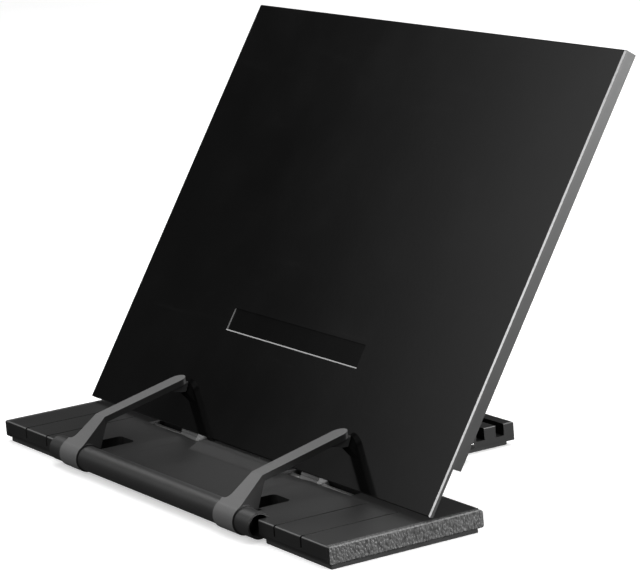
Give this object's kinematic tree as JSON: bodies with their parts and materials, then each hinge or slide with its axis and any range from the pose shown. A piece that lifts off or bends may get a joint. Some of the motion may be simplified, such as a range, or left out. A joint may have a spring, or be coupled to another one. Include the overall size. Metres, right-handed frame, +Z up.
{
  "type": "folding reading stand",
  "caption": "Folding stand for an open album or book: a leaning panel on a front ledge, with sprung page holders, a wire prop and a notched tail.",
  "frame": {"origin": "on the table, under the centre of the stand's bounding box as it stands in use", "axes": "+Z up, +X to the right as the reader sees it, +Y away from the reader"},
  "size_m": [0.343, 0.1952, 0.2171],
  "materials": {
    "ledge_plastic": "fine satin texture",
    "grained_cap": "moulded leather grain",
    "rubber": "matte",
    "steel": "satin",
    "bright_wire": "bright nickel plating",
    "arm_plastic": "satin",
    "panel_gloss": "semi-gloss",
    "plate_blank": "gloss",
    "rim_plastic": "satin",
    "grey_plastic": "satin"
  },
  "bodies": {
    "base": {"ledge_shell": "ledge_plastic", "tail_rack": "ledge_plastic", "base_cover": "ledge_plastic", "end_cap_left": "grained_cap", "end_cap_right": "grained_cap", "foot_pad_left": "rubber", "foot_pad_right": "rubber", "foot_strip_front": "rubber", "foot_strip_back": "rubber", "rack_foot_pad": "rubber", "base_screws": "steel", "barrel_center": "ledge_plastic", "barrel_left": "ledge_plastic", "barrel_right": "ledge_plastic", "arm_axle": "steel", "arm_spring_left": "steel", "arm_spring_right": "steel", "hinge_pin_left": "steel", "hinge_pin_right": "steel", "prop_crossbar": "bright_wire"},
    "plate": {"front_panel": "panel_gloss", "nameplate": "plate_blank", "back_cover": "rim_plastic", "cover_screws": "steel", "hinge_leaf_left": "grey_plastic", "hinge_leaf_right": "grey_plastic", "leaf_screws": "steel", "prop_bracket_left": "grey_plastic", "prop_bracket_right": "grey_plastic", "bracket_screws": "steel"},
    "prop": {"prop_leg_left": "bright_wire", "prop_leg_right": "bright_wire"},
    "left_holder": {"arm_left": "arm_plastic", "tip_pad_left": "rubber"},
    "right_holder": {"arm_right": "arm_plastic", "tip_pad_right": "rubber"}
  },
  "joints": [
    {"name": "plate_tilt", "type": "hinge", "parent": "base", "child": "plate", "pos_m": [0, -0.03333, 0.0089], "axis": [-1, 0, 0], "range_deg": [0, 57.6]},
    {"name": "prop_swing", "type": "hinge", "parent": "plate", "child": "prop", "pos_m": [0, 0.00007, 0.0649], "axis": [1, 0, 0], "range_deg": [0, 99.58]},
    {"name": "holder_left_swing", "type": "hinge", "parent": "base", "child": "left_holder", "pos_m": [-0.082, -0.09025, 0.0082], "axis": [1, 0, 0], "range_deg": [0, 110], "stiffness_Nm_per_rad": 0.15, "springref_deg": -34.38},
    {"name": "holder_right_swing", "type": "hinge", "parent": "base", "child": "right_holder", "pos_m": [0.082, -0.09025, 0.0082], "axis": [1, 0, 0], "range_deg": [0, 110], "stiffness_Nm_per_rad": 0.15, "springref_deg": -34.38}
  ],
  "couplings": [
    {"joint": "prop_swing", "follows": "plate_tilt", "ratio": 1.7286}
  ]
}
